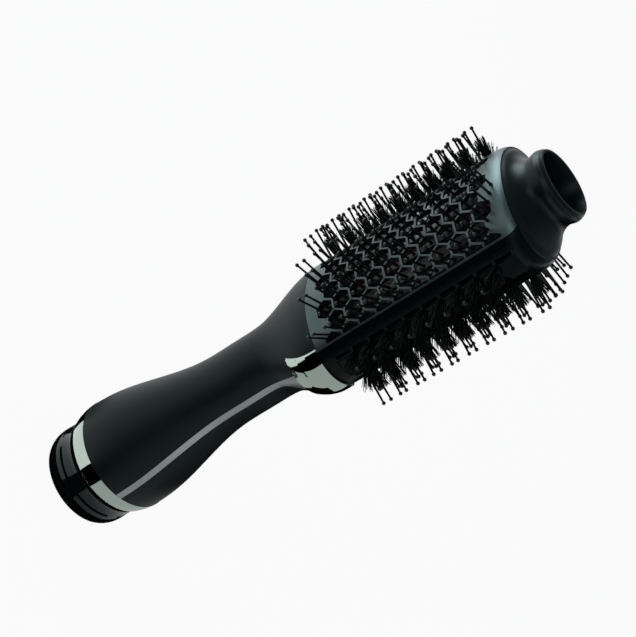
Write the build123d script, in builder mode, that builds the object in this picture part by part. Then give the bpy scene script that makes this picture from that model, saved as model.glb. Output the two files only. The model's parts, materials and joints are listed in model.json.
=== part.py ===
"""Hot air brush: an oval blow-dry brush head on a round handle, standing on its base.

Millimetres. +Z runs from the flat base to the cool tip, X is the oval's wide axis and
-Y is the front. The origin is the centre of the base face.
"""
import os
from math import atan2, cos, degrees, hypot, pi, radians, sin

from build123d import *

os.makedirs("parts", exist_ok=True)

# ---------------------------------------------------------------- driving dimensions
# Lengths up the brush, from its base
dial_top_z = 24.3
ring_h = 12.9
taper_h = 90.8
waist_h = 31.0
flare_h = 41.0
neck_h = 6.3
head_straight_h = 121.7
shoulder_h = 10.0
tip_h = 21.0
saddle_h = 22.3

# Outline
foot_r = 35.2
grip_r = 21.6
head_half_width = 43.1
head_half_depth = 27.4
wall = 2.4
loft_steps = 6
shoulder_draw_in = 3.2
shoulder_depth_share = 0.44
# Share of the shoulder's height, share of how far it draws in
shoulder_sweep = ((0.0, 0.0), (0.35, 0.06), (0.7, 0.31), (1.0, 1.0))

# Fits
running_fit = 0.06
seat_gap = 0.15
face_gap = 0.3

# Base: end cap, dial, cord swivel
base_disc_t = 3.6
base_edge = 0.6
flange_t = 2.0
screw_r = 3.0
screw_sink = 0.3
screw_head_t = 1.1
screw_slot_wide = 0.8
screw_slot_deep = 0.5
ring_draw_in = 2.4
ring_proud = 0.2
ring_belly = 0.7
dial_step = 0.2
dial_taper = 1.2
dial_foot_draw_in = 3.1
dial_lift = 0.6
dial_curl = 1.3
slot_height = 1.8
slot_first_z = 2.6
slot_step_z = 5.0
slot_row_count = 3
slot_count = 6
slot_arc = 46.0
swivel_r = 8.0
swivel_flange_w = 2.5
swivel_top_z = 14.0
swivel_lift = 0.5
cord_r = 3.6
spigot_wall = 2.5
spigot_rise = 6.8
spigot_sill = 2.0
filter_t = 0.8
switch_h = 5.0
switch_bore_r = 15.0
board_t = 1.6
board_pad_h = 4.0
board_pad_wide = 5.0
board_pad_long = 9.0
board_pad_start = 25.0

# Trim strips and neck saddles
strip_half = 2.0
strip_end_half = 8.0
strip_flare_rise = 4.0
strip_proud = 0.2
saddle_wrap = 1.5
saddle_t = 1.2

# Air path, fan, motor and heater
duct_wall = 1.2
duct_straight_share = 0.56
duct_cone_share = 0.82
duct_end_drop = 2.3
impeller_rise = 6.0
impeller_h = 10.0
impeller_gap = 1.0
impeller_hub_r = 9.0
blade_count = 9
blade_t = 1.1
blade_pitch = 38.0
shaft_r = 1.15
shaft_spare = 2.0
motor_r = 12.5
motor_rise = 4.0
motor_h = 27.0
motor_edge = 1.5
vane_count = 7
vane_t = 1.4
heater_rise = 6.0
heater_drop = 14.0
heater_board_share = 0.77
heater_board_t = 1.0
heater_band_count = 8
heater_band_h = 2.0
heater_band_t = 0.8
sensor_r = 4.0
sensor_h = 4.0
fuse_r = 1.6
fuse_long = 10.0

# Head: face plates, side carriers, pins and tufts
plate_half = 14.5
plate_t = 1.0
bed_t = 1.6
frame_t = 2.0
frame_ring_h = 7.0
frame_window_count = 5
frame_window_share = 0.29
frame_rib = 3.0
divider_share = 0.7
divider_t = 1.6
divider_rise = 2.0
post_r = 4.5
column_count = 10
first_column_rise = 12.7
last_column_drop = 3.7
plate_rows = 9
plate_rim = 1.4
pin_inset = 3.7
cell_share = 0.89
pin_length = 20.0
pin_root = 1.1
pin_end = 0.7
pin_sink = 0.8
tuft_length = 15.0
tuft_root = 1.0
tuft_end = 0.5
tuft_splay = 9.0
tuft_spread = 1.3
tuft_row_y = 4.7
strip_slice_half = 6.2
slot_y = 7.9
slot_wide = 1.9
slot_strut = 1.9
channel_wide = 2.8
channel_depth = 1.5
bed_slot_wide = 3.0

# Cool tip
tip_neck_r = 20.15
tip_rim_draw_in = 0.9
# Share of the tip's height, share of the way out from its neck to the head's shoulder
tip_sweep = ((0.0, 1.0), (0.07, 0.8), (0.14, 0.57), (0.21, 0.36), (0.3, 0.18), (0.42, 0.045), (0.58, 0.0))
# Share of the tip's height, how far the rolled lip stands out from the neck
tip_lip = ((0.72, 0.7), (0.84, 0.6), (0.92, 0.1))
cup_lip = 1.25
cup_draft = 3.5
cup_share = 0.76

# ---------------------------------------------------------------- shared geometry
ring_low_z = dial_top_z + face_gap
ring_top_z = dial_top_z + ring_h
grip_z = ring_top_z + taper_h
flare_low_z = grip_z + waist_h
flare_high_z = flare_low_z + flare_h
head_low_z = flare_high_z + neck_h
head_straight_z = head_low_z + head_straight_h
head_high_z = head_straight_z + shoulder_h
tip_z = head_high_z + tip_h
saddle_low_z = head_low_z - saddle_h
ring_foot_r = foot_r - ring_draw_in
dial_high_r = ring_foot_r - dial_step
dial_mid_r = dial_high_r - dial_taper
dial_low_r = dial_high_r - dial_foot_draw_in
spigot_r = dial_low_r - 2.0
base_disc_r = spigot_r
first_column_z = head_low_z + first_column_rise
pitch = (head_straight_z - last_column_drop - first_column_z) / (column_count - 1)
reach = head_half_width * 2


def ease(value, low, high):
    """Raised-cosine step: 0 below low, 1 above high."""
    share = min(max((value - low) / (high - low), 0.0), 1.0)
    return (1 - cos(pi * share)) / 2


def handle_oval(z):
    """Half width and half depth of the handle and neck at height z."""
    round_r = foot_r + (grip_r - foot_r) * ease(z, ring_top_z, grip_z)
    half_width = round_r + (head_half_width - grip_r) * ease(z, flare_low_z, flare_high_z)
    half_depth = round_r + (head_half_depth - grip_r) * ease(z, flare_low_z, head_low_z)
    return half_width, half_depth


def handle_solid(grow):
    """Closed handle and neck, its outline moved out by grow."""
    steps = range(loft_steps + 1)
    lower = [ring_top_z + (grip_z - ring_top_z) * step / loft_steps for step in steps]
    upper = [flare_low_z + (flare_high_z - flare_low_z) * step / loft_steps for step in steps]
    heights = lower + [(grip_z + flare_low_z) / 2] + upper + [head_low_z - seat_gap]
    with BuildPart() as solid:
        for z in heights:
            half_width, half_depth = handle_oval(z)
            with BuildSketch(Plane.XY.offset(z)):
                Ellipse(half_width + grow, half_depth + grow)
        loft()
    return solid.part


def handle_skin(outer, inner):
    """Wall of the handle between two outlines."""
    core = handle_solid(inner)
    with BuildPart() as skin:
        add(handle_solid(outer))
        add(core, mode=Mode.SUBTRACT)
    return skin.part


def head_solid(grow):
    """Closed brush head: a straight oval that draws in a little at its shoulder."""
    rise = head_high_z - head_straight_z
    half_width = head_half_width + grow
    half_depth = head_half_depth + grow
    with BuildPart() as solid:
        with BuildSketch(Plane.XY.offset(head_low_z)):
            Ellipse(half_width, half_depth)
        extrude(amount=head_straight_z - head_low_z)
        for share, sweep in shoulder_sweep:
            draw_in = shoulder_draw_in * sweep
            with BuildSketch(Plane.XY.offset(head_straight_z + rise * share)):
                Ellipse(half_width - draw_in, half_depth - draw_in * shoulder_depth_share)
        loft()
    return solid.part


def head_skin(outer, inner):
    """Wall of the head between two outlines."""
    core = head_solid(inner)
    with BuildPart() as skin:
        add(head_solid(outer))
        add(core, mode=Mode.SUBTRACT)
    return skin.part


def save(builder, name):
    """Label a finished piece and write its STEP file."""
    builder.part.label = name
    export_step(builder.part, f"parts/{name}.step")


def oval_normal(angle, shrink=0.0):
    """Point and outward direction on the head's oval at a parameter angle in degrees."""
    half_width = head_half_width - shrink
    half_depth = head_half_depth - shrink
    turn = radians(angle)
    out_x = cos(turn) / half_width
    out_y = sin(turn) / half_depth
    size = hypot(out_x, out_y)
    return half_width * cos(turn), half_depth * sin(turn), out_x / size, out_y / size


def oval_plane(angle, z, shrink=0.0, lean=0.0, aside=0.0):
    """Plane on the head's oval, facing out, leaning up by lean and aside round the oval."""
    x, y, out_x, out_y = oval_normal(angle, shrink)
    outward = Vector(out_x, out_y, 0)
    around = Vector(-out_y, out_x, 0)
    up = Vector(0, 0, 1)
    facing = outward + around * sin(radians(aside)) + up * sin(radians(lean))
    return Plane(origin=(x, y, z), x_dir=around.cross(facing), z_dir=facing)


def angle_at_y(y):
    """Parameter angle, on the +X side, where the head's oval crosses a given y."""
    ratio = y / head_half_depth
    return degrees(atan2(ratio, (1 - ratio * ratio) ** 0.5))


def row_angles(first, last, count, margin):
    """Parameter angles of rows spaced evenly along the oval's arc, the end rows in by margin."""
    steps = 240
    turns = [first + (last - first) * step / steps for step in range(steps + 1)]
    places = [oval_normal(turn) for turn in turns]
    lengths = [0.0]
    for here, there in zip(places, places[1:]):
        lengths.append(lengths[-1] + hypot(there[0] - here[0], there[1] - here[1]))
    gap = (lengths[-1] - 2 * margin) / (count - 1)
    angles = []
    for row in range(count):
        target = margin + gap * row
        index = min(range(steps + 1), key=lambda step: abs(lengths[step] - target))
        angles.append(turns[index])
    return angles


def column_heights(staggered):
    """Heights of one row's columns; a staggered row has one fewer, half a pitch up."""
    start = first_column_z + (pitch / 2 if staggered else 0.0)
    count = column_count - 1 if staggered else column_count
    return [start + pitch * column for column in range(count)]


def strand(length, root, end):
    """One square, tapered strand that stands on the plane where it is placed."""
    with BuildPart() as piece:
        with BuildSketch(Plane.XY.offset(-pin_sink)):
            Rectangle(root, root)
        with BuildSketch(Plane.XY.offset(length)):
            Rectangle(end, end)
        loft(ruled=True)
    return piece.part


def cross_slot(z, depth):
    """Cutter for a screw head's cross slot, centred on the Z axis with its top at z."""
    with BuildPart() as cross:
        with BuildSketch(Plane.XY.offset(z)):
            Rectangle(screw_r * 1.3, screw_slot_wide)
            Rectangle(screw_slot_wide, screw_r * 1.3)
        extrude(amount=-depth)
    return cross.part


# ---------------------------------------------------------------- base
flange_low_z = base_disc_t + face_gap
spigot_low_z = flange_low_z + flange_t + face_gap
collar_out_r = spigot_r - spigot_wall - seat_gap
swivel_flange_r = swivel_r + swivel_flange_w
cap_screw_circle = (swivel_flange_r + collar_out_r) / 2

with BuildPart() as end_cap:
    with BuildSketch():
        Circle(base_disc_r)
    extrude(amount=base_disc_t)
    with BuildSketch(Plane.XY.offset(base_disc_t)):
        Circle(collar_out_r)
        Circle(collar_out_r - wall, mode=Mode.SUBTRACT)
    extrude(amount=flange_t + 2 * wall)
    chamfer(end_cap.edges().group_by(Axis.Z)[0], base_edge)
    with BuildSketch():
        Circle(swivel_r + running_fit)
    extrude(amount=base_disc_t, mode=Mode.SUBTRACT)
    with BuildSketch():
        with PolarLocations(cap_screw_circle, 3, start_angle=90):
            Circle(screw_r + seat_gap)
    extrude(amount=screw_sink + screw_head_t, mode=Mode.SUBTRACT)
save(end_cap, "end_cap")

cap_screw_slot = cross_slot(screw_sink + screw_slot_deep, screw_slot_deep)

with BuildPart() as end_cap_screws:
    with BuildSketch(Plane.XY.offset(screw_sink)):
        with PolarLocations(cap_screw_circle, 3, start_angle=90):
            Circle(screw_r)
    extrude(amount=screw_head_t)
    with PolarLocations(cap_screw_circle, 3, start_angle=90):
        add(cap_screw_slot, mode=Mode.SUBTRACT)
save(end_cap_screws, "end_cap_screws")

with BuildPart() as cord_swivel:
    with BuildSketch():
        Circle(swivel_r)
    extrude(amount=flange_low_z)
    with BuildSketch(Plane.XY.offset(flange_low_z)):
        Circle(swivel_flange_r)
    extrude(amount=flange_t)
    with BuildSketch(Plane.XY.offset(flange_low_z + flange_t)):
        Circle(cord_r + wall)
    extrude(amount=swivel_top_z - flange_low_z - flange_t)
    with BuildSketch():
        Circle(swivel_flange_r)
    extrude(amount=swivel_lift, mode=Mode.SUBTRACT)
    with BuildSketch():
        Circle(cord_r)
    extrude(amount=swivel_top_z, mode=Mode.SUBTRACT)
save(cord_swivel, "cord_swivel")


def dial_slot(low_z):
    """One curved air slot through the dial's wall, centred on +X."""
    inner_r = spigot_r + face_gap
    outer_r = dial_high_r + wall
    with BuildPart() as slot:
        with BuildSketch(Plane.XZ.rotated((0, 0, -slot_arc / 2))):
            with Locations(((inner_r + outer_r) / 2, low_z + slot_height / 2)):
                Rectangle(outer_r - inner_r, slot_height)
        revolve(axis=Axis.Z, revolution_arc=slot_arc)
    return slot.part


dial_slots = [dial_slot(slot_first_z + slot_step_z * row) for row in range(slot_row_count)]
dial_flange_r = collar_out_r + 3 * face_gap
band_low_z = slot_first_z + slot_step_z * (slot_row_count - 1) + slot_height

with BuildPart() as mode_dial:
    with BuildSketch(Plane.XZ):
        with BuildLine():
            Spline(
                (dial_low_r, dial_lift),
                (dial_low_r + dial_curl, dial_lift + 2 * dial_curl),
                (dial_mid_r, band_low_z),
                (dial_high_r, dial_top_z),
            )
            Polyline(
                (dial_high_r, dial_top_z),
                (spigot_r + running_fit, dial_top_z),
                (spigot_r + running_fit, dial_top_z - wall),
                (dial_high_r - wall, dial_top_z - wall),
                (dial_mid_r - wall, band_low_z),
                (dial_low_r + seat_gap, flange_low_z + flange_t),
                (dial_flange_r, flange_low_z + flange_t),
                (dial_flange_r, flange_low_z),
                (base_disc_r + face_gap, flange_low_z),
                (base_disc_r + face_gap, dial_lift),
                (dial_low_r, dial_lift),
            )
        make_face()
    revolve(axis=Axis.Z)
    with PolarLocations(0, slot_count):
        add(dial_slots, mode=Mode.SUBTRACT)
save(mode_dial, "mode_dial")

window_low_z = spigot_low_z + spigot_sill
window_high_z = dial_top_z - 2 * wall
window_wide = spigot_r * 0.8
spigot_top_z = ring_top_z + spigot_rise
shell_inner_r = foot_r - wall

with BuildPart() as intake_spigot:
    with BuildSketch(Plane.XY.offset(spigot_low_z)):
        Circle(spigot_r)
        Circle(spigot_r - spigot_wall, mode=Mode.SUBTRACT)
    extrude(amount=spigot_top_z - spigot_low_z)
    with BuildSketch(Plane.XY.offset(ring_top_z + seat_gap)):
        Circle(shell_inner_r - 2 * seat_gap)
        Circle(spigot_r - spigot_wall, mode=Mode.SUBTRACT)
    extrude(amount=wall)
    with BuildSketch(Plane.YZ):
        with Locations((0, (window_low_z + window_high_z) / 2)):
            Rectangle(window_wide, window_high_z - window_low_z)
    extrude(amount=reach, both=True, mode=Mode.SUBTRACT)
    with BuildSketch(Plane.XZ):
        with Locations((0, (window_low_z + window_high_z) / 2)):
            Rectangle(window_wide, window_high_z - window_low_z)
    extrude(amount=reach, both=True, mode=Mode.SUBTRACT)
save(intake_spigot, "intake_spigot")

filter_low_z = base_disc_t + flange_t + 2 * wall + seat_gap
filter_high_z = window_high_z + filter_t

with BuildPart() as intake_filter:
    with BuildSketch(Plane.XY.offset(filter_low_z)):
        Circle(collar_out_r)
        Circle(collar_out_r - filter_t, mode=Mode.SUBTRACT)
    extrude(amount=filter_high_z - filter_low_z)
save(intake_filter, "intake_filter")

switch_low_z = filter_high_z + seat_gap
board_low_z = switch_low_z + switch_h + face_gap
board_pad_r = (collar_out_r + switch_bore_r) / 2

with BuildPart() as rotary_switch:
    with BuildSketch(Plane.XY.offset(switch_low_z)):
        Circle(collar_out_r)
        Circle(switch_bore_r, mode=Mode.SUBTRACT)
    extrude(amount=switch_h)
save(rotary_switch, "rotary_switch")

with BuildPart() as circuit_board:
    with BuildSketch(Plane.XY.offset(board_low_z)):
        Circle(collar_out_r)
        Circle(switch_bore_r, mode=Mode.SUBTRACT)
    extrude(amount=board_t)
    with BuildSketch(Plane.XY.offset(board_low_z + board_t)):
        with PolarLocations(board_pad_r, 3, start_angle=board_pad_start):
            Rectangle(board_pad_wide, board_pad_long)
    extrude(amount=board_pad_h)
save(circuit_board, "circuit_board")

with BuildPart() as base_ring:
    with BuildSketch(Plane.XZ):
        with BuildLine():
            Line((ring_foot_r, ring_low_z), (spigot_r + seat_gap, ring_low_z))
            Line((spigot_r + seat_gap, ring_low_z), (spigot_r + seat_gap, ring_low_z + wall))
            Line((spigot_r + seat_gap, ring_low_z + wall), (shell_inner_r - wall, ring_low_z + wall))
            Line((shell_inner_r - wall, ring_low_z + wall), (shell_inner_r - wall, ring_top_z))
            Line((shell_inner_r - wall, ring_top_z), (foot_r + ring_proud, ring_top_z))
            ThreePointArc(
                (foot_r + ring_proud, ring_top_z),
                ((foot_r + ring_foot_r) / 2 + ring_belly, (ring_low_z + ring_top_z) / 2),
                (ring_foot_r, ring_low_z),
            )
        make_face()
    revolve(axis=Axis.Z)
save(base_ring, "base_ring")

# ---------------------------------------------------------------- handle shells and trim
strip_flare_z = flare_low_z + strip_flare_rise
saddle_half = plate_half + saddle_wrap


def strip_outline(spare):
    """Side outline of a trim strip in Y and Z: narrow up the handle, flared at the neck."""
    half = strip_half + spare
    end_half = strip_end_half + spare
    bend_z = (strip_flare_z + saddle_low_z) / 2
    low_z = ring_top_z + seat_gap - spare
    top_z = saddle_low_z - seat_gap + spare
    with BuildSketch(Plane.YZ) as outline:
        with BuildLine():
            Polyline((0, low_z), (half, low_z), (half, strip_flare_z))
            Spline(
                (half, strip_flare_z),
                ((half * 2 + end_half) / 3, bend_z),
                (end_half, top_z),
                tangents=((0, 1), (0.5, 1)),
            )
            Polyline((end_half, top_z), (0, top_z), (0, low_z))
        make_face()
        mirror(about=Plane.YZ)
    return outline.sketch


def strip_slab(spare):
    """The strip's outline carried right through one side of the handle."""
    with BuildPart() as slab:
        extrude(strip_outline(spare), amount=reach)
    return slab.part


strip_cut = strip_slab(seat_gap)
strip_keep = strip_slab(0)
shell_wall = handle_skin(0, -wall)
strip_wall = handle_skin(strip_proud, -wall)
saddle_wall = handle_skin(saddle_t + seat_gap, seat_gap)


def half_space(side_x, side_y):
    """A large block on one side of the handle, for keeping half of a wall."""
    with BuildPart() as block:
        with Locations((side_x * reach, side_y * reach, tip_z / 2)):
            Box(2 * reach, 2 * reach, 2 * tip_z)
    return block.part


with BuildPart() as front_shell:
    add(shell_wall)
    add(half_space(0, -1), mode=Mode.INTERSECT)
    add(strip_cut, mode=Mode.SUBTRACT)
    with PolarLocations(0, 1, start_angle=180):
        add(strip_cut, mode=Mode.SUBTRACT)
save(front_shell, "front_shell")

with BuildPart() as back_shell:
    add(shell_wall)
    add(half_space(0, 1), mode=Mode.INTERSECT)
    add(strip_cut, mode=Mode.SUBTRACT)
    with PolarLocations(0, 1, start_angle=180):
        add(strip_cut, mode=Mode.SUBTRACT)
save(back_shell, "back_shell")

with BuildPart() as right_trim:
    add(strip_wall)
    add(strip_keep, mode=Mode.INTERSECT)
save(right_trim, "right_trim")

with BuildPart() as left_trim:
    add(strip_wall)
    with PolarLocations(0, 1, start_angle=180):
        add(strip_keep, mode=Mode.INTERSECT)
save(left_trim, "left_trim")

with BuildPart() as right_saddle:
    add(saddle_wall)
    with Locations((reach / 2, 0, saddle_low_z + saddle_h / 2)):
        Box(reach, 2 * saddle_half, saddle_h, mode=Mode.INTERSECT)
save(right_saddle, "right_saddle")

with BuildPart() as left_saddle:
    add(saddle_wall)
    with Locations((-reach / 2, 0, saddle_low_z + saddle_h / 2)):
        Box(reach, 2 * saddle_half, saddle_h, mode=Mode.INTERSECT)
save(left_saddle, "left_saddle")

# ---------------------------------------------------------------- air path, fan and heater
duct_low_z = spigot_top_z + face_gap
duct_cone_low_z = ring_top_z + taper_h * duct_straight_share
duct_cone_high_z = ring_top_z + taper_h * duct_cone_share
duct_top_z = head_low_z - duct_end_drop
duct_r = handle_oval(duct_cone_low_z)[0] - wall - face_gap
duct_neck_r = grip_r - wall - face_gap
impeller_r = duct_r - duct_wall - impeller_gap
impeller_z = spigot_top_z + impeller_rise
motor_z = impeller_z + impeller_h + motor_rise

with BuildPart() as air_duct:
    with BuildSketch(Plane.XZ):
        with BuildLine():
            Polyline(
                (duct_r, duct_low_z),
                (duct_r, duct_cone_low_z),
                (duct_neck_r, duct_cone_high_z),
                (duct_neck_r, duct_top_z),
                (duct_neck_r - duct_wall, duct_top_z),
                (duct_neck_r - duct_wall, duct_cone_high_z),
                (duct_r - duct_wall, duct_cone_low_z),
                (duct_r - duct_wall, duct_low_z),
                close=True,
            )
        make_face()
    revolve(axis=Axis.Z)
save(air_duct, "air_duct")


def blade(root_r, end_r, thickness, height, lean):
    """One flat blade that leans about its own radius, standing on z = 0 along +X."""
    with BuildPart() as flat:
        with BuildSketch(Plane.YZ.offset(root_r).rotated((lean, 0, 0))):
            Rectangle(thickness, height)
        extrude(amount=end_r - root_r)
    return flat.part


impeller_blade = blade(impeller_hub_r - 1.0, impeller_r, blade_t, impeller_h, blade_pitch)

with BuildPart() as impeller:
    with Locations((0, 0, impeller_z + impeller_h / 2)):
        with PolarLocations(0, blade_count):
            add(impeller_blade)
    with BuildSketch(Plane.XY.offset(impeller_z)):
        Circle(impeller_hub_r)
    extrude(amount=impeller_h)
    with BuildSketch(Plane.XY.offset(impeller_z)):
        Circle(shaft_r + seat_gap)
    extrude(amount=impeller_h, mode=Mode.SUBTRACT)
save(impeller, "impeller")

with BuildPart() as motor_shaft:
    with BuildSketch(Plane.XY.offset(impeller_z - shaft_spare)):
        Circle(shaft_r)
    extrude(amount=motor_z + motor_h - impeller_z + 2 * shaft_spare)
save(motor_shaft, "motor_shaft")

with BuildPart() as motor_can:
    with BuildSketch(Plane.XY.offset(motor_z)):
        Circle(motor_r)
    extrude(amount=motor_h)
    fillet(motor_can.edges().group_by(Axis.Z)[-1], motor_edge)
    with BuildSketch(Plane.XY.offset(motor_z)):
        Circle(shaft_r + running_fit)
    extrude(amount=motor_h, mode=Mode.SUBTRACT)
save(motor_can, "motor_can")

mount_low_z = motor_z
mount_high_z = duct_cone_low_z - seat_gap
mount_h = mount_high_z - mount_low_z
vane = blade(motor_r + wall / 2, duct_r - duct_wall - seat_gap, vane_t, mount_h, 0)

with BuildPart() as motor_mount:
    with Locations((0, 0, (mount_low_z + mount_high_z) / 2)):
        with PolarLocations(0, vane_count):
            add(vane)
    with BuildSketch(Plane.XY.offset(mount_low_z)):
        Circle(motor_r + wall)
    extrude(amount=mount_h)
    with BuildSketch(Plane.XY.offset(mount_low_z)):
        Circle(motor_r + seat_gap)
    extrude(amount=mount_h, mode=Mode.SUBTRACT)
save(motor_mount, "motor_mount")

heater_low_z = duct_cone_high_z + heater_rise
heater_high_z = duct_top_z - heater_drop
heater_h = heater_high_z - heater_low_z
heater_board_half = duct_neck_r * heater_board_share
collar_r = duct_neck_r - duct_wall - seat_gap

with BuildPart() as heater_frame:
    with BuildSketch(Plane.XY.offset(heater_low_z)):
        Rectangle(2 * heater_board_half, heater_board_t)
        Rectangle(heater_board_t, 2 * heater_board_half)
    extrude(amount=heater_h)
    for z in (heater_low_z, heater_high_z - wall):
        with BuildSketch(Plane.XY.offset(z)):
            Circle(collar_r)
            Circle(heater_board_half - heater_board_t, mode=Mode.SUBTRACT)
        extrude(amount=wall)
save(heater_frame, "heater_frame")

band_step = (heater_h - 6 * wall) / (heater_band_count - 1)
band_low_r = heater_board_half + seat_gap

with BuildPart() as heater_bands:
    for band in range(heater_band_count):
        with BuildSketch(Plane.XY.offset(heater_low_z + 3 * wall + band_step * band - heater_band_h / 2)):
            Circle(band_low_r + heater_band_t)
            Circle(band_low_r, mode=Mode.SUBTRACT)
        extrude(amount=heater_band_h)
save(heater_bands, "heater_bands")

sensor_x = heater_board_half / 2

with BuildPart() as thermostat:
    with BuildSketch(Plane.XY.offset(heater_high_z + seat_gap)):
        with Locations((sensor_x, 0)):
            Circle(sensor_r)
    extrude(amount=sensor_h)
save(thermostat, "thermostat")

with BuildPart() as thermal_fuse:
    with BuildSketch(Plane.YZ.offset(-sensor_x - fuse_long / 2)):
        with Locations((0, heater_high_z + seat_gap + fuse_r)):
            Circle(fuse_r)
    extrude(amount=fuse_long)
save(thermal_fuse, "thermal_fuse")

# ---------------------------------------------------------------- brush head
cell_high = pitch * cell_share
frame_window_pitch = head_half_width * frame_window_share
frame_window_wide = frame_window_pitch - frame_rib
bed_out = -plate_t - face_gap
bed_in = bed_out - bed_t
frame_out = bed_in - face_gap
frame_in = frame_out - frame_t
plate_wall = head_skin(0, -plate_t)
bed_wall = head_skin(bed_out, bed_in)
frame_wall = head_skin(frame_out, frame_in)
carrier_wall = head_skin(0, frame_out + face_gap)
frame_window_low = head_low_z + frame_ring_h
frame_window_high = head_high_z - frame_ring_h - wall

end_wall_z = head_high_z - wall

with BuildPart() as end_wall:
    add(head_solid(frame_out))
    with Locations((0, 0, end_wall_z + reach / 2)):
        Box(2 * reach, 2 * reach, reach, mode=Mode.INTERSECT)

with BuildPart() as barrel_frame:
    add(frame_wall)
    with Locations((0, 0, (frame_window_low + frame_window_high) / 2)):
        with GridLocations(frame_window_pitch, 0, frame_window_count, 1):
            Box(frame_window_wide, reach, frame_window_high - frame_window_low, mode=Mode.SUBTRACT)
    add(end_wall.part)
save(barrel_frame, "barrel_frame")

divider_low_z = head_low_z + divider_rise

with BuildPart() as air_divider:
    with BuildSketch(Plane.XY.offset(divider_low_z)):
        Rectangle(2 * head_half_width * divider_share, divider_t)
        Circle(post_r)
    extrude(amount=end_wall_z - seat_gap - divider_low_z)
save(air_divider, "air_divider")

boundary_angle = angle_at_y(plate_half)
face_ends = (-180 + boundary_angle, -boundary_angle)
face_rows = row_angles(*face_ends, plate_rows, 0.0)
inset_rows = row_angles(*face_ends, plate_rows, pin_inset)
pin_rows = [inset_rows[0]] + face_rows[1:-1] + [inset_rows[-1]]


def cell_cutter(inner_side):
    """Hexagonal cell; at a face's edge only the half on its inner side, short of the rim."""
    with BuildPart() as cell:
        with BuildSketch():
            RegularPolygon(cell_high / 2, 6, major_radius=False, rotation=30)
            if inner_side:
                with Locations((0, inner_side * (plate_rim + pitch / 2))):
                    Rectangle(pitch, pitch, mode=Mode.INTERSECT)
        extrude(amount=2 * plate_t, both=True)
    return cell.part


def face_cells():
    """Every cell of the front face, placed on the oval."""
    whole = cell_cutter(0)
    first = cell_cutter(1)
    last = cell_cutter(-1)
    cells = []
    for row, row_angle in enumerate(face_rows):
        cutter = first if row == 0 else last if row == plate_rows - 1 else whole
        for place_z in column_heights(row % 2 == 1):
            cells.append(oval_plane(row_angle, place_z).location * cutter)
    return cells


cells = face_cells()


def face_plate(side):
    """Perforated face: side -1 is the front, +1 the back."""
    with BuildPart() as plate:
        add(plate_wall)
        with Locations((0, side * (plate_half + reach / 2), tip_z / 2)):
            Box(2 * reach, reach, 2 * tip_z, mode=Mode.INTERSECT)
        with PolarLocations(0, 1, start_angle=0 if side < 0 else 180):
            add(cells, mode=Mode.SUBTRACT)
    return plate.part


with BuildPart() as front_plate:
    add(face_plate(-1))
save(front_plate, "front_plate")

with BuildPart() as back_plate:
    add(face_plate(1))
save(back_plate, "back_plate")

pin_strand = strand(pin_length, pin_root, pin_end)
pin_shrink = plate_t + face_gap
pin_places = []
for row, row_angle in enumerate(pin_rows):
    for place_z in column_heights(row % 2 == 1):
        pin_places.append(oval_plane(row_angle, place_z, shrink=pin_shrink))
bed_slot_h = pitch * column_count
bed_slot_places = []
for low_angle, high_angle in zip(pin_rows, pin_rows[1:]):
    mid_z = first_column_z + pitch * (column_count - 1) / 2
    mid_plane = oval_plane((low_angle + high_angle) / 2, mid_z, shrink=pin_shrink)
    bed_slot_places.append(Plane(origin=mid_plane.origin, x_dir=(0, 0, 1), z_dir=mid_plane.z_dir))


def pin_bed(side):
    """Pins on their curved bed under a face plate, standing out through its cells."""
    half = plate_half + face_gap
    with BuildPart() as bed:
        add(bed_wall)
        with Locations((0, side * (half + reach / 2), (head_low_z + head_straight_z) / 2)):
            Box(2 * reach, reach, head_straight_z - head_low_z - 2 * face_gap, mode=Mode.INTERSECT)
        with PolarLocations(0, 1, start_angle=0 if side < 0 else 180):
            with Locations(*bed_slot_places):
                Box(bed_slot_h, bed_slot_wide, 4 * bed_t, mode=Mode.SUBTRACT)
            with Locations(*pin_places):
                add(pin_strand)
    return bed.part


with BuildPart() as front_pins:
    add(pin_bed(-1))
save(front_pins, "front_pins")

with BuildPart() as back_pins:
    add(pin_bed(1))
save(back_pins, "back_pins")

# ---------------------------------------------------------------- side carriers and tufts
carrier_half = plate_half - face_gap
window_half = strip_slice_half + seat_gap
tuft_low_z = first_column_z - pitch / 2
tuft_high_z = first_column_z + pitch * (column_count - 0.5)
window_mid_z = (tuft_low_z + tuft_high_z) / 2
window_h = tuft_high_z - tuft_low_z

with BuildPart() as channels:
    add(head_skin(channel_depth, -channel_depth))
    with Locations((0, carrier_half, window_mid_z), (0, -carrier_half, window_mid_z)):
        Box(2 * reach, 2 * channel_wide, window_h, mode=Mode.INTERSECT)


def side_carrier(side):
    """Side rail between the two faces, with a channel, a row of air slots and a tuft window."""
    with BuildPart() as carrier:
        add(carrier_wall)
        with Locations((side * reach / 2, 0, tip_z / 2)):
            Box(reach, 2 * carrier_half, 2 * tip_z, mode=Mode.INTERSECT)
        with Locations((side * reach / 2, 0, window_mid_z)):
            Box(reach, 2 * window_half, window_h + 2 * seat_gap, mode=Mode.SUBTRACT)
        for edge in (-1, 1):
            with Locations(*[(side * reach / 2, edge * slot_y, z) for z in column_heights(False)]):
                Box(reach, slot_wide, pitch - slot_strut, mode=Mode.SUBTRACT)
        add(channels, mode=Mode.SUBTRACT)
    return carrier.part


with BuildPart() as right_carrier:
    add(side_carrier(1))
save(right_carrier, "right_carrier")

with BuildPart() as left_carrier:
    add(side_carrier(-1))
save(left_carrier, "left_carrier")

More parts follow.
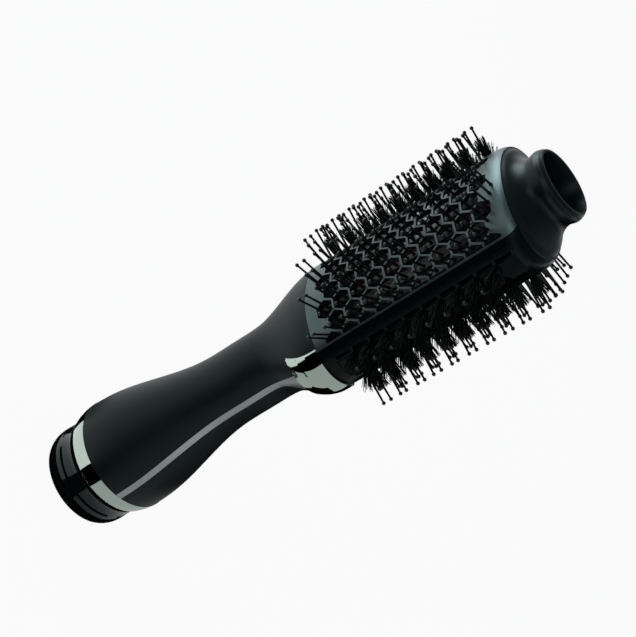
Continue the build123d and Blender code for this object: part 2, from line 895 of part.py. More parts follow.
tuft_strand = strand(tuft_length, tuft_root, tuft_end)
side_pin_strand = strand(pin_length, pin_root, pin_end)
row_turn = angle_at_y(tuft_row_y)
tuft_places = []
side_pin_places = []
for row_sign in (-1, 0, 1):
    for place_z in column_heights(True) if row_sign else column_heights(False)[1:-1]:
        for up in (-1, 1):
            for around in (-1, 1):
                shift = degrees(tuft_spread * around / 2 / head_half_depth)
                spot = oval_plane(
                    row_sign * row_turn + shift,
                    place_z + up * tuft_spread / 2,
                    shrink=seat_gap,
                    lean=up * tuft_splay,
                    aside=around * tuft_splay,
                )
                tuft_places.append(spot)
for row_sign in (-1, 1):
    for place_z in column_heights(False)[1:-1]:
        side_pin_places.append(oval_plane(row_sign * row_turn, place_z, shrink=seat_gap))


def tuft_strip(start_angle):
    """Curved strip of a side carrier with its tufts and its pins fused on."""
    with BuildPart() as strip:
        add(carrier_wall)
        with Locations((reach / 2, 0, window_mid_z)):
            Box(reach, 2 * strip_slice_half, window_h, mode=Mode.INTERSECT)
        located = [plane.location * tuft_strand for plane in tuft_places]
        located += [plane.location * side_pin_strand for plane in side_pin_places]
        add(located)
    with BuildPart() as turned:
        with PolarLocations(0, 1, start_angle=start_angle):
            add(strip.part)
    return turned.part


with BuildPart() as right_tufts:
    add(tuft_strip(0))
save(right_tufts, "right_tufts")

with BuildPart() as left_tufts:
    add(tuft_strip(180))
save(left_tufts, "left_tufts")

# ---------------------------------------------------------------- cool tip
tip_low_z = head_high_z + seat_gap
tip_rise = tip_z - tip_low_z
shoulder_width = head_half_width - shoulder_draw_in
shoulder_depth = head_half_depth - shoulder_draw_in * shoulder_depth_share
cup_r = tip_neck_r - tip_rim_draw_in - cup_lip
cup_floor_r = cup_r - cup_draft
cup_floor_z = tip_z - tip_rise * cup_share

with BuildPart() as cool_tip:
    for share, sweep in tip_sweep:
        with BuildSketch(Plane.XY.offset(tip_low_z + tip_rise * share)):
            Ellipse(
                tip_neck_r + (shoulder_width - tip_neck_r) * sweep,
                tip_neck_r + (shoulder_depth - tip_neck_r) * sweep,
            )
    for share, stand_out in tip_lip:
        with BuildSketch(Plane.XY.offset(tip_low_z + tip_rise * share)):
            Ellipse(tip_neck_r + stand_out, tip_neck_r + stand_out)
    loft()
    with BuildSketch(Plane.XY.offset(tip_low_z + tip_rise * tip_lip[-1][0])):
        Circle(tip_neck_r + tip_lip[-1][1])
    with BuildSketch(Plane.XY.offset(tip_z)):
        Circle(tip_neck_r - tip_rim_draw_in)
    loft()
    with BuildSketch(Plane.XY.offset(tip_z)):
        Circle(cup_r)
    with BuildSketch(Plane.XY.offset(cup_floor_z)):
        Circle(cup_floor_r)
    loft(mode=Mode.SUBTRACT)
    with BuildSketch(Plane.XY.offset(cup_floor_z)):
        Circle(screw_r + seat_gap)
    extrude(amount=-screw_head_t - screw_sink, mode=Mode.SUBTRACT)
save(cool_tip, "cool_tip")

tip_screw_top_z = cup_floor_z - screw_sink
tip_screw_slot = cross_slot(tip_screw_top_z, screw_slot_deep)

with BuildPart() as tip_screw:
    with BuildSketch(Plane.XY.offset(tip_screw_top_z)):
        Circle(screw_r)
    extrude(amount=-screw_head_t)
    add(tip_screw_slot, mode=Mode.SUBTRACT)
save(tip_screw, "tip_screw")
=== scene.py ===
"""Looks for the hot air brush: camera, light, materials, and what some CAD solids stand in for.

Metres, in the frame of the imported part: +Z from the base to the cool tip, X the wide axis, -Y the
front. Angles are in degrees. The angles on the head are parameter angles of its oval, from +X.
"""
import json
import random
from math import atan2, cos, degrees, hypot, pi, radians, sin

import bmesh
import bpy
from mathutils import Matrix, Vector


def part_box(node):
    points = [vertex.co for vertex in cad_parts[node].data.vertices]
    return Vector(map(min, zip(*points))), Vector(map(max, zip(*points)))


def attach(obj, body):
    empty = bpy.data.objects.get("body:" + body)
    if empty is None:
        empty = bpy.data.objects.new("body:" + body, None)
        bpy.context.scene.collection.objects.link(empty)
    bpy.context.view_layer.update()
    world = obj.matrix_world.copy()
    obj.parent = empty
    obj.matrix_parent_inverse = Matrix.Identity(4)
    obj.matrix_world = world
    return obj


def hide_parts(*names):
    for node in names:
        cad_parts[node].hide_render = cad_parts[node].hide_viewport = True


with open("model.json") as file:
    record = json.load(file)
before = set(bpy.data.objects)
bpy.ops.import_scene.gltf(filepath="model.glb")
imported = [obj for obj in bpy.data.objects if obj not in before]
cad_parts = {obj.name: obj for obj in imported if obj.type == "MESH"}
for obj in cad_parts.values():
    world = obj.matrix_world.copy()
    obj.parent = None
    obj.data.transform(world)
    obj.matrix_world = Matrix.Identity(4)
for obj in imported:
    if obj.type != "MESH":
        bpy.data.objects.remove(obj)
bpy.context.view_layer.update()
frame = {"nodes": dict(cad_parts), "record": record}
nodes = frame["nodes"]
MM = 0.001
UP = Vector((0, 0, 1))

# ---------------------------------------------------------------- sizes read from the frame
plate_low, plate_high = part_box("front_plate")
head_half_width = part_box("right_carrier")[1].x
head_half_depth = -plate_low.y
head_low_z = plate_low.z
face_half = -plate_high.y

# ---------------------------------------------------------------- rows, columns and seats
column_count = 10
first_column_rise = 12.7 * MM
pitch = 11.7 * MM
face_row_count = 9
face_pin_inset = 3.7 * MM
row_steps = 240
side_row_y = 4.7 * MM
seat_gap = 0.15 * MM
bed_sink = 1.3 * MM
bed_half_turn = 2.4
bed_steps = 3
bed_t = 1.4 * MM
strip_half = 6.0 * MM
strip_steps = 8
strip_t = 1.8 * MM

# ---------------------------------------------------------------- pins
pin_length = 20.0 * MM
staggered_pin_length = 17.5 * MM
pin_root_r = 0.72 * MM
pin_end_r = 0.56 * MM
pin_foot_share = 1.5
pin_foot_depth = 0.6 * MM
pin_foot_top = 1.2 * MM
pin_ball_r = 1.12 * MM
pin_ball_rise = 1.9
pin_sides = 8
pin_lean = 2.0
pin_pair_gap = 4.4 * MM
edge_pin_drop = 4.3 * MM
end_pin_turns = (-80.0, -46.0)
end_pin_drops = (5.6 * MM, 14.2 * MM)
end_pin_count = 6
end_pin_length = 16.0 * MM
# A pin's ball: the latitudes of its rings, and where its middle and its cap lie, in radii.
ball_turns = (-55, -25, 5, 35, 62)
ball_seat = 0.75
ball_cap = 0.15
# How far a plain strand's point stands out past its last ring, in radii.
point_cap = 0.6

# ---------------------------------------------------------------- tufts
side_tuft_length = 14.8 * MM
face_tuft_length = 12.0 * MM
tuft_count = 64
tuft_root_spread = 1.6 * MM
tuft_splay = 17.0
tuft_splay_range = (0.6, 1.1)
filament_length_range = (0.9, 1.03)
filament_shares = (-0.04, 0.35, 0.7, 1.0)
filament_sag_most = 0.9 * MM
filament_root_r = 0.19 * MM
filament_end_r = 0.15 * MM
filament_sides = 5

# ---------------------------------------------------------------- floor, cards and light
floor_half = 6.0
floor_z = -0.0002
floor_matte = 0.8
floor_white_share = 0.94
card_z = -0.0001
card_steps = 32
# Painted reflections: black cards and glowing grey cards as sectors of rings round the brush: start
# and end angle, inner and outer radius. They show in reflections only and put dark and grey bands
# into the chrome, the metal and the black plastics.
foot_r = 0.0405
near_r = 0.110
far_r = 3.0
black_cards = (
    (-49.0, -19.0, foot_r, near_r),
    (180.0, 234.0, foot_r, near_r),
    (-180.0, 180.0, 0.001, foot_r),
    (-70.0, -61.0, near_r, far_r),
    (-61.0, -53.0, 0.26, far_r),
    (-53.0, -24.0, near_r, far_r),
    (-24.0, -2.0, near_r, 0.13),
    (55.0, 95.0, near_r, 0.29),
    (55.0, 95.0, 0.45, far_r),
    (95.0, 140.0, near_r, far_r),
)
grey_cards = (
    (-19.0, 120.0, foot_r, near_r),
    (-24.0, -2.0, 0.13, 0.47),
    (-2.0, 55.0, near_r, 0.47),
    (55.0, 95.0, 0.29, 0.45),
)
# How brightly the grey cards glow, though they are no lamp: a painted grey reflection.
grey_level = 0.5
room_colour = (0.80, 0.95, 1.0)
room_level = 0.25
backdrop_level = 0.975
backdrop_top = 0.12
lamp_colour = (0.86, 0.98, 1.0)
lamp_aim = Vector((0, 0, 0.18))
cool_tint = (0.70, 0.97, 1.0)
rough_patch_ratio = 3.1

dice = random.Random(7)


# ---------------------------------------------------------------- camera
def make_camera():
    """A long lens, rolled so that the brush lies across the picture. Gives the picture's axes."""
    place = (0.65617, -0.42817, 0.61637)
    right = Vector((-0.05148, 0.66262, 0.74719))
    up = Vector((-0.66740, -0.57940, 0.46784))
    back = right.cross(up).normalized()
    data = bpy.data.cameras.new("camera")
    data.lens = 90.4
    data.sensor_width = 36.0
    data.clip_start = 0.01
    data.clip_end = 50.0
    camera = bpy.data.objects.new("camera", data)
    turn = Matrix((right, up, back)).transposed().to_4x4()
    camera.matrix_world = Matrix.Translation(place) @ turn
    bpy.context.scene.collection.objects.link(camera)
    bpy.context.scene.camera = camera
    return right, up, back


# ---------------------------------------------------------------- materials
def new_material(name):
    """An empty node material with its shader and output linked."""
    material = bpy.data.materials.new(name)
    material.use_nodes = True
    tree = material.node_tree
    tree.nodes.clear()
    output = tree.nodes.new("ShaderNodeOutputMaterial")
    shader = tree.nodes.new("ShaderNodeBsdfPrincipled")
    tree.links.new(shader.outputs["BSDF"], output.inputs["Surface"])
    return material, tree, shader


def noise(tree, scale, detail, stretch=(1.0, 1.0, 1.0)):
    """A noise texture in object space, in cycles per metre."""
    place = tree.nodes.new("ShaderNodeTexCoord")
    spread = tree.nodes.new("ShaderNodeMapping")
    spread.inputs["Scale"].default_value = stretch
    texture = tree.nodes.new("ShaderNodeTexNoise")
    texture.inputs["Scale"].default_value = scale
    texture.inputs["Detail"].default_value = detail
    tree.links.new(place.outputs["Object"], spread.inputs["Vector"])
    tree.links.new(spread.outputs["Vector"], texture.inputs["Vector"])
    return texture.outputs["Fac"]


def ramp(tree, factor, low, high, start=0.3, end=0.7):
    """A colour ramp between two colours."""
    band = tree.nodes.new("ShaderNodeValToRGB")
    band.color_ramp.elements[0].position = start
    band.color_ramp.elements[0].color = (*low, 1.0)
    band.color_ramp.elements[1].position = end
    band.color_ramp.elements[1].color = (*high, 1.0)
    tree.links.new(factor, band.inputs["Fac"])
    return band.outputs["Color"]


def span(tree, factor, low, high):
    """Maps 0..1 to low..high."""
    reach = tree.nodes.new("ShaderNodeMapRange")
    reach.inputs["To Min"].default_value = low
    reach.inputs["To Max"].default_value = high
    tree.links.new(factor, reach.inputs["Value"])
    return reach.outputs["Result"]


def bump(tree, shader, height, strength, distance):
    """Bump from a height value, its distance in metres."""
    node = tree.nodes.new("ShaderNodeBump")
    node.inputs["Strength"].default_value = strength
    node.inputs["Distance"].default_value = distance
    tree.links.new(height, node.inputs["Height"])
    tree.links.new(node.outputs["Normal"], shader.inputs["Normal"])


def surface(name, low, high, rough, metallic=0.0, specular=0.5, tint=(1.0, 1.0, 1.0), patch=60.0,
            stretch=(1.0, 1.0, 1.0), grain=900.0, grain_strength=0.2, grain_depth=0.02 * MM):
    """A moulded or metal surface: mottled colour and roughness with a fine grain."""
    material, tree, shader = new_material(name)
    shader.inputs["Metallic"].default_value = metallic
    shader.inputs["Specular IOR Level"].default_value = specular
    shader.inputs["Specular Tint"].default_value = (*tint, 1.0)
    colour = ramp(tree, noise(tree, patch, 4.0), low, high)
    tree.links.new(colour, shader.inputs["Base Color"])
    roughness = span(tree, noise(tree, patch * rough_patch_ratio, 5.0, stretch), *rough)
    tree.links.new(roughness, shader.inputs["Roughness"])
    bump(tree, shader, noise(tree, grain, 3.0, stretch), grain_strength, grain_depth)
    return material


def make_materials():
    """Every material, by its slot."""
    finishes = {
        "soft_touch": dict(
            low=(0.0030, 0.0046, 0.0056), high=(0.0040, 0.0058, 0.0068), rough=(0.42, 0.48),
            specular=0.24, grain=2600.0, grain_strength=0.25, tint=cool_tint),
        "dial_gloss": dict(
            low=(0.004, 0.0045, 0.005), high=(0.005, 0.006, 0.0065), rough=(0.07, 0.14),
            specular=0.36, grain=300.0, grain_strength=0.04, tint=cool_tint),
        "base_plastic": dict(
            low=(0.006, 0.0065, 0.007), high=(0.009, 0.0095, 0.010), rough=(0.28, 0.38),
            grain=1800.0),
        "chrome_trim": dict(
            low=(0.46, 0.56, 0.50), high=(0.49, 0.59, 0.53), rough=(0.03, 0.07),
            metallic=1.0, grain=160.0, grain_strength=0.03, grain_depth=0.01 * MM),
        "grey_trim": dict(
            low=(0.34, 0.395, 0.385), high=(0.38, 0.435, 0.425), rough=(0.30, 0.38),
            metallic=0.85, grain=2200.0, grain_strength=0.18, stretch=(1.0, 1.0, 0.04)),
        "face_metal": dict(
            low=(0.078, 0.107, 0.108), high=(0.10, 0.136, 0.137), rough=(0.34, 0.42),
            metallic=1.0, grain=2400.0, grain_strength=0.12, stretch=(1.0, 1.0, 0.08)),
        "carrier_gloss": dict(
            low=(0.0024, 0.0030, 0.0036), high=(0.0034, 0.0040, 0.0046), rough=(0.24, 0.32),
            specular=0.12, grain=700.0, grain_strength=0.08, tint=cool_tint),
        "frame_plastic": dict(
            low=(0.003, 0.0035, 0.0038), high=(0.005, 0.0055, 0.006), rough=(0.5, 0.6),
            specular=0.3, grain=1800.0),
        "pin_nylon": dict(
            low=(0.0045, 0.005, 0.0055), high=(0.0065, 0.007, 0.0075), rough=(0.26, 0.38),
            grain=2600.0, grain_strength=0.1),
        "bristle": dict(
            low=(0.0022, 0.0026, 0.0030), high=(0.0040, 0.0045, 0.0050), rough=(0.4, 0.52),
            specular=0.22, grain=2600.0, grain_strength=0.1, patch=400.0),
        "tip_satin": dict(
            low=(0.0024, 0.0038, 0.0048), high=(0.0034, 0.0050, 0.0060), rough=(0.34, 0.40),
            specular=0.25, grain=2400.0, grain_strength=0.2, tint=cool_tint),
        "screw_steel": dict(
            low=(0.12, 0.125, 0.13), high=(0.16, 0.165, 0.17), rough=(0.3, 0.42),
            metallic=1.0, grain=1500.0),
        "inner_plastic": dict(
            low=(0.02, 0.022, 0.024), high=(0.03, 0.032, 0.034), rough=(0.5, 0.6)),
        "filter_mesh": dict(
            low=(0.10, 0.11, 0.11), high=(0.16, 0.17, 0.17), rough=(0.35, 0.5),
            metallic=0.9, grain=3500.0, grain_strength=0.6),
        "board": dict(
            low=(0.01, 0.07, 0.03), high=(0.02, 0.10, 0.045), rough=(0.35, 0.5)),
        "duct_plastic": dict(
            low=(0.03, 0.03, 0.03), high=(0.04, 0.04, 0.04), rough=(0.5, 0.6)),
        "fan_plastic": dict(
            low=(0.55, 0.56, 0.55), high=(0.62, 0.63, 0.62), rough=(0.35, 0.45)),
        "shaft_steel": dict(
            low=(0.5, 0.5, 0.52), high=(0.58, 0.58, 0.6), rough=(0.15, 0.25), metallic=1.0),
        "motor_steel": dict(
            low=(0.42, 0.42, 0.44), high=(0.5, 0.5, 0.52), rough=(0.25, 0.4), metallic=1.0),
        "mica": dict(
            low=(0.016, 0.009, 0.008), high=(0.028, 0.016, 0.013), rough=(0.45, 0.6),
            grain=1200.0),
        "heater_wire": dict(
            low=(0.13, 0.12, 0.11), high=(0.18, 0.165, 0.15), rough=(0.3, 0.45), metallic=1.0),
        "sensor_metal": dict(
            low=(0.5, 0.5, 0.5), high=(0.58, 0.58, 0.58), rough=(0.25, 0.35), metallic=1.0),
    }
    return {name: surface(name, **finish) for name, finish in finishes.items()}


def dress_cad(materials):
    """Gives every CAD node the material of its slot."""
    slots = {row["node"]: row["material_slot"] for row in frame["record"]["subparts"]}
    for name, obj in nodes.items():
        obj.data.materials.clear()
        obj.data.materials.append(materials[slots[name]])


# ---------------------------------------------------------------- the head's oval
def oval_point(angle, shrink=0.0):
    """Point and outward direction on the head's oval, drawn in by shrink."""
    half_width = head_half_width - shrink
    half_depth = head_half_depth - shrink
    turn = radians(angle)
    out = Vector((cos(turn) / half_width, sin(turn) / half_depth, 0)).normalized()
    return Vector((half_width * cos(turn), half_depth * sin(turn), 0)), out


def angle_at_y(y):
    """The angle, on the +X side, where the oval crosses a given y."""
    ratio = y / head_half_depth
    return degrees(atan2(ratio, (1 - ratio * ratio) ** 0.5))


def face_row_angles():
    """Angles of the front face's pin rows, evenly along the oval but for the two edge rows."""
    edge = angle_at_y(face_half)
    turns = [-180 + edge + (180 - 2 * edge) * step / row_steps for step in range(row_steps + 1)]
    lengths = [0.0]
    for here, there in zip(turns, turns[1:]):
        a, b = oval_point(here)[0], oval_point(there)[0]
        lengths.append(lengths[-1] + hypot(b.x - a.x, b.y - a.y))
    gap = lengths[-1] / (face_row_count - 1)
    targets = [gap * row for row in range(face_row_count)]
    targets[0] = face_pin_inset
    targets[-1] = lengths[-1] - face_pin_inset
    nearest = [min(range(row_steps + 1), key=lambda step: abs(lengths[step] - target))
               for target in targets]
    return [turns[step] for step in nearest]


def column_heights(staggered):
    """Heights of one row's columns. A staggered row has one fewer, half a pitch up."""
    start = head_low_z + first_column_rise + (pitch / 2 if staggered else 0.0)
    count = column_count - 1 if staggered else column_count
    return [start + pitch * column for column in range(count)]


def inner_column_heights():
    """Heights of the columns without the first and the last."""
    return column_heights(False)[1:-1]


# ---------------------------------------------------------------- shape helpers
def turned(point, half_turn):
    """A point, or the same point half a turn round the Z axis."""
    return Vector((-point.x, -point.y, point.z)) if half_turn else point


def wobble(way, degrees_most):
    """A direction near way, off by a random angle."""
    off = radians(degrees_most) * dice.uniform(-1, 1)
    axis = way.orthogonal()
    axis.rotate(Matrix.Rotation(dice.uniform(0, 2 * pi), 3, way))
    new = way.copy()
    new.rotate(Matrix.Rotation(off, 3, axis))
    return new


def finish_mesh(mesh, name, material, smooth=True):
    """Turns a bmesh into an object with one material."""
    bmesh.ops.recalc_face_normals(mesh, faces=mesh.faces)
    data = bpy.data.meshes.new(name)
    mesh.to_mesh(data)
    mesh.free()
    for face in data.polygons:
        face.use_smooth = smooth
    data.materials.append(material)
    obj = bpy.data.objects.new(name, data)
    bpy.context.scene.collection.objects.link(obj)
    return obj


def tube(mesh, points, radii, sides, ball=0.0):
    """A tapered round strand along points, closed at its end by a point or a ball."""
    rings = []
    profile = list(zip(points, radii))
    if ball:
        tip = points[-1]
        way = (points[-1] - points[-2]).normalized()
        profile += [(tip + way * ball * (ball_seat + sin(radians(turn))), ball * cos(radians(turn)))
                    for turn in ball_turns]
    way = (profile[-1][0] - profile[-2][0]).normalized()
    end = profile[-1][0] + way * (ball * ball_cap or radii[-1] * point_cap)
    for index, (point, radius) in enumerate(profile):
        before = profile[max(index - 1, 0)][0]
        after = profile[min(index + 1, len(profile) - 1)][0]
        way = (after - before).normalized()
        side = way.orthogonal().normalized()
        other = way.cross(side)
        ring = []
        for step in range(sides):
            turn = 2 * pi * step / sides
            ring.append(mesh.verts.new(point + (side * cos(turn) + other * sin(turn)) * radius))
        rings.append(ring)
    for low, high in zip(rings, rings[1:]):
        shift = min(range(sides), key=lambda k: (high[k].co - low[0].co).length)
        for step in range(sides):
            after = (step + 1) % sides
            mesh.faces.new((low[step], low[after],
                            high[(after + shift) % sides], high[(step + shift) % sides]))
    cap = mesh.verts.new(end)
    for step in range(sides):
        mesh.faces.new((rings[-1][step], rings[-1][(step + 1) % sides], cap))
    mesh.faces.new(list(reversed(rings[0])))


def curved_patch(mesh, angles, low_z, high_z, shrink, thick, half_turn):
    """A strip of the oval's wall between the first and last angle, as a closed solid."""
    rows = []
    for angle in angles:
        spot, out = oval_point(angle, shrink)
        corners = []
        for depth, z in ((0.0, low_z), (0.0, high_z), (thick, high_z), (thick, low_z)):
            corners.append(mesh.verts.new(turned(spot - out * depth + UP * z, half_turn)))
        rows.append(corners)
    for here, there in zip(rows, rows[1:]):
        for step in range(4):
            after = (step + 1) % 4
            mesh.faces.new((here[step], there[step], there[after], here[after]))
    mesh.faces.new(rows[0])
    mesh.faces.new(list(reversed(rows[-1])))


# ---------------------------------------------------------------- pins, beds and tufts
def pin(mesh, root, way, length, half_turn):
    """One nylon pin with a ball tip, leaning a little at random."""
    shaft = length - pin_ball_r * pin_ball_rise
    foot_radius = pin_root_r * pin_foot_share
    heights = [-pin_foot_depth, 0.0, pin_foot_top, shaft * 0.5, shaft]
    radii = [foot_radius, foot_radius, pin_root_r, (pin_root_r + pin_end_r) / 2, pin_end_r]
    way = wobble(way, pin_lean)
    points = [turned(root + way * height, half_turn) for height in heights]
    tube(mesh, points, radii, pin_sides, pin_ball_r)


def filament(mesh, root, way, length, half_turn):
    """One bristle of a tuft, slightly curved."""
    side = way.orthogonal().normalized()
    side.rotate(Matrix.Rotation(dice.uniform(0, 2 * pi), 3, way))
    sag = dice.uniform(0.0, filament_sag_most)
    points = []
    for share in filament_shares:
        spot = root + way * length * share + side * sag * share * share
        points.append(turned(spot, half_turn))
    middle_r = (filament_root_r + filament_end_r) / 2
    tube(mesh, points, [filament_root_r, filament_root_r, middle_r, filament_end_r], filament_sides)


def tuft(mesh, spot, out, z, length, half_turn):
    """A clump of filaments that fan out of one hole."""
    around = Vector((-out.y, out.x, 0))
    for _ in range(tuft_count):
        turn = dice.uniform(0, 2 * pi)
        off = tuft_root_spread * dice.uniform(0, 1) ** 0.5
        root = spot + UP * (z + sin(turn) * off) + around * cos(turn) * off
        lean = radians(tuft_splay) * (off / tuft_root_spread) * dice.uniform(*tuft_splay_range)
        way = (out + (UP * sin(turn) + around * cos(turn)) * sin(lean)).normalized()
        filament(mesh, root, way, length * dice.uniform(*filament_length_range), half_turn)


def make_face_pins(name, half_turn, material):
    """The pins of one face on their beds under the plate, and the few in its plain end strip."""
    mesh = bmesh.new()
    rows = face_row_angles()
    bed_low, bed_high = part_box(name)
    for row, angle in enumerate(rows):
        angles = [angle + bed_half_turn * step / bed_steps
                  for step in range(-bed_steps, bed_steps + 1)]
        curved_patch(mesh, angles, bed_low.z, bed_high.z, bed_sink, bed_t, half_turn)
        spot, out = oval_point(angle, bed_sink)
        staggered = row % 2 == 1
        if 1 < row < len(rows) - 2:
            offsets, length = (-pin_pair_gap / 2, pin_pair_gap / 2), pin_length
        elif staggered:
            offsets, length = (0.0,), staggered_pin_length
        else:
            offsets, length = (-edge_pin_drop, 0.0), pin_length
        for z in column_heights(staggered):
            for offset in offsets:
                pin(mesh, spot + UP * (z + offset), out, length, half_turn)
    for index in range(end_pin_count):
        share = index / (end_pin_count - 1)
        angle = end_pin_turns[0] + (end_pin_turns[1] - end_pin_turns[0]) * share
        if half_turn:
            angle = -180 - angle
        drop = end_pin_drops[0] + (end_pin_drops[1] - end_pin_drops[0]) * share
        spot, out = oval_point(angle)
        pin(mesh, spot + UP * (plate_high.z - drop), out, end_pin_length, half_turn)
    piece = finish_mesh(mesh, name.replace("pins", "pin_field"), material)
    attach(piece, "handle")
    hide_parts(name)


def make_face_tufts(name, half_turn, material):
    """The tufts of one face, in the cells along its leading edge."""
    mesh = bmesh.new()
    spot, out = oval_point(face_row_angles()[0], bed_sink)
    for z in column_heights(False):
        tuft(mesh, spot, out, z, face_tuft_length, half_turn)
    piece = finish_mesh(mesh, name.replace("pins", "edge_tufts"), material)
    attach(piece, "handle")
    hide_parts(name)


def make_side_tufts(name, half_turn, materials):
    """The tufts and ball-tipped pins of one side, on their curved strip."""
    mesh = bmesh.new()
    strip_turn = angle_at_y(strip_half)
    strip_low_z = head_low_z + first_column_rise - pitch / 2
    strip_high_z = strip_low_z + pitch * column_count
    angles = [strip_turn * step / strip_steps for step in range(-strip_steps, strip_steps + 1)]
    curved_patch(mesh, angles, strip_low_z, strip_high_z, seat_gap, strip_t, half_turn)
    row_turn = angle_at_y(side_row_y)
    for row in (-1, 0, 1):
        spot, out = oval_point(row * row_turn, seat_gap)
        for z in column_heights(True) if row else inner_column_heights():
            tuft(mesh, spot, out, z, side_tuft_length, half_turn)
    piece = finish_mesh(mesh, name.replace("tufts", "bristle_field"), materials["bristle"])
    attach(piece, "handle")
    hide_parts(name)
    pins = bmesh.new()
    for row in (-1, 1):
        spot, out = oval_point(row * row_turn, seat_gap)
        for z in inner_column_heights():
            pin(pins, spot + UP * z, out, pin_length, half_turn)
    pin_piece = finish_mesh(pins, name.replace("tufts", "side_pins"), materials["pin_nylon"])
    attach(pin_piece, "handle")
    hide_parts(name)


# ---------------------------------------------------------------- floor and backdrop
def background_share(tree, most, reach=None):
    """Most for camera rays, the same times reach for glossy and transmission rays, 0 otherwise."""
    rays = tree.nodes.new("ShaderNodeLightPath")
    mirrored = tree.nodes.new("ShaderNodeMath")
    mirrored.operation = "MAXIMUM"
    tree.links.new(rays.outputs["Is Glossy Ray"], mirrored.inputs[0])
    tree.links.new(rays.outputs["Is Transmission Ray"], mirrored.inputs[1])
    reached = tree.nodes.new("ShaderNodeMath")
    reached.operation = "MULTIPLY"
    reached.inputs[1].default_value = 1.0
    tree.links.new(mirrored.outputs[0], reached.inputs[0])
    if reach:
        tree.links.new(reach, reached.inputs[1])
    seen = tree.nodes.new("ShaderNodeMath")
    seen.operation = "MAXIMUM"
    tree.links.new(rays.outputs["Is Camera Ray"], seen.inputs[0])
    tree.links.new(reached.outputs[0], seen.inputs[1])
    share = tree.nodes.new("ShaderNodeMath")
    share.operation = "MULTIPLY"
    share.inputs[1].default_value = most
    tree.links.new(seen.outputs[0], share.inputs[0])
    return share.outputs[0]


def make_floor():
    """A plain white floor that keeps the brush's shadow."""
    mesh = bmesh.new()
    corners = ((-1, -1), (1, -1), (1, 1), (-1, 1))
    mesh.faces.new([mesh.verts.new((x * floor_half, y * floor_half, floor_z)) for x, y in corners])
    material = bpy.data.materials.new("floor_white")
    material.use_nodes = True
    tree = material.node_tree
    tree.nodes.clear()
    output = tree.nodes.new("ShaderNodeOutputMaterial")
    matte = tree.nodes.new("ShaderNodeBsdfDiffuse")
    matte.inputs["Color"].default_value = (floor_matte, floor_matte, floor_matte, 1)
    glow = tree.nodes.new("ShaderNodeEmission")
    glow.inputs["Strength"].default_value = 1.0
    mix = tree.nodes.new("ShaderNodeMixShader")
    tree.links.new(background_share(tree, floor_white_share), mix.inputs[0])
    tree.links.new(matte.outputs[0], mix.inputs[1])
    tree.links.new(glow.outputs[0], mix.inputs[2])
    tree.links.new(mix.outputs[0], output.inputs["Surface"])
    finish_mesh(mesh, "floor", material, smooth=False)


def make_cards(name, sectors, level):
    """Cards of one level, black or glowing grey, that lie on the floor and show in reflections
    only: painted reflections, hidden from the camera, from diffuse light and from shadows.
    """
    mesh = bmesh.new()
    for start, end, inner, outer in sectors:
        rows = []
        for step in range(card_steps + 1):
            turn = radians(start + (end - start) * step / card_steps)
            rows.append([mesh.verts.new((radius * cos(turn), radius * sin(turn), card_z))
                         for radius in (inner, outer)])
        for here, there in zip(rows, rows[1:]):
            mesh.faces.new((here[0], here[1], there[1], there[0]))
    material, tree, shader = new_material(name)
    shader.inputs["Base Color"].default_value = (0.0, 0.0, 0.0, 1)
    shader.inputs["Specular IOR Level"].default_value = 0.0
    # The grey cards glow at level though they are no lamp, and the black ones are a dark sheet:
    # both are painted reflections.
    shader.inputs["Emission Color"].default_value = (1, 1, 1, 1)
    shader.inputs["Emission Strength"].default_value = level
    card = finish_mesh(mesh, name, material, smooth=False)
    card.visible_camera = False
    card.visible_diffuse = False
    card.visible_shadow = False
    card.visible_transmission = False


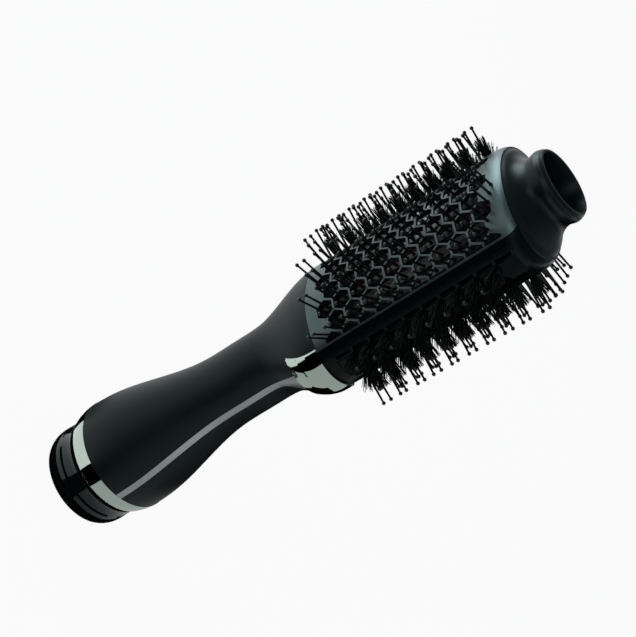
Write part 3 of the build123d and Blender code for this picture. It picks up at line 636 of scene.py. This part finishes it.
def make_world():
    """White to the camera and low down in reflections, and a dim cool room for all else."""
    world = bpy.data.worlds.new("world")
    bpy.context.scene.world = world
    world.use_nodes = True
    tree = world.node_tree
    tree.nodes.clear()
    output = tree.nodes.new("ShaderNodeOutputWorld")
    room = tree.nodes.new("ShaderNodeBackground")
    room.inputs["Color"].default_value = (*room_colour, 1)
    room.inputs["Strength"].default_value = room_level
    white = tree.nodes.new("ShaderNodeBackground")
    white.inputs["Color"].default_value = (1, 1, 1, 1)
    white.inputs["Strength"].default_value = backdrop_level
    way = tree.nodes.new("ShaderNodeTexCoord")
    split = tree.nodes.new("ShaderNodeSeparateXYZ")
    backdrop = tree.nodes.new("ShaderNodeMapRange")
    backdrop.inputs["From Min"].default_value = backdrop_top
    backdrop.inputs["From Max"].default_value = 0.0
    tree.links.new(way.outputs["Generated"], split.inputs[0])
    tree.links.new(split.outputs["Z"], backdrop.inputs["Value"])
    mix = tree.nodes.new("ShaderNodeMixShader")
    tree.links.new(background_share(tree, 1.0, backdrop.outputs["Result"]), mix.inputs[0])
    tree.links.new(room.outputs[0], mix.inputs[1])
    tree.links.new(white.outputs[0], mix.inputs[2])
    tree.links.new(mix.outputs[0], output.inputs["Surface"])


# ---------------------------------------------------------------- lamps
def area_light(name, place, width, height, power):
    """A rectangular softbox aimed at the middle of the brush."""
    data = bpy.data.lights.new(name, "AREA")
    data.shape = "RECTANGLE"
    data.size = width
    data.size_y = height
    data.energy = power
    data.color = lamp_colour
    lamp = bpy.data.objects.new(name, data)
    turn = (lamp_aim - place).normalized().to_track_quat("-Z", "Y")
    lamp.matrix_world = Matrix.Translation(place) @ turn.to_matrix().to_4x4()
    bpy.context.scene.collection.objects.link(lamp)


def make_lights(right, up, back):
    """Two softboxes, placed along the picture's own axes."""
    lamps = (
        ("key_behind", (-0.35, 1.25, -0.35), 0.95, 0.70, 9.0),
        ("front_fill", (-0.5, 0.6, 1.5), 0.5, 0.5, 2.0),
    )
    for name, (across, rise, near), width, height, power in lamps:
        place = lamp_aim + right * across + up * rise + back * near
        area_light(name, place, width, height, power)


right, up, back = make_camera()
materials = make_materials()
dress_cad(materials)
make_face_pins("front_pins", False, materials["pin_nylon"])
make_face_pins("back_pins", True, materials["pin_nylon"])
make_face_tufts("front_pins", False, materials["bristle"])
make_face_tufts("back_pins", True, materials["bristle"])
make_side_tufts("right_tufts", False, materials)
make_side_tufts("left_tufts", True, materials)
make_floor()
# Painted reflections: black and glowing grey cards on the floor, seen only in reflections.
make_cards("black_cards", black_cards, 0.0)
make_cards("grey_cards", grey_cards, grey_level)
make_world()
make_lights(right, up, back)

scene = bpy.context.scene
scene.view_settings.view_transform = "Standard"
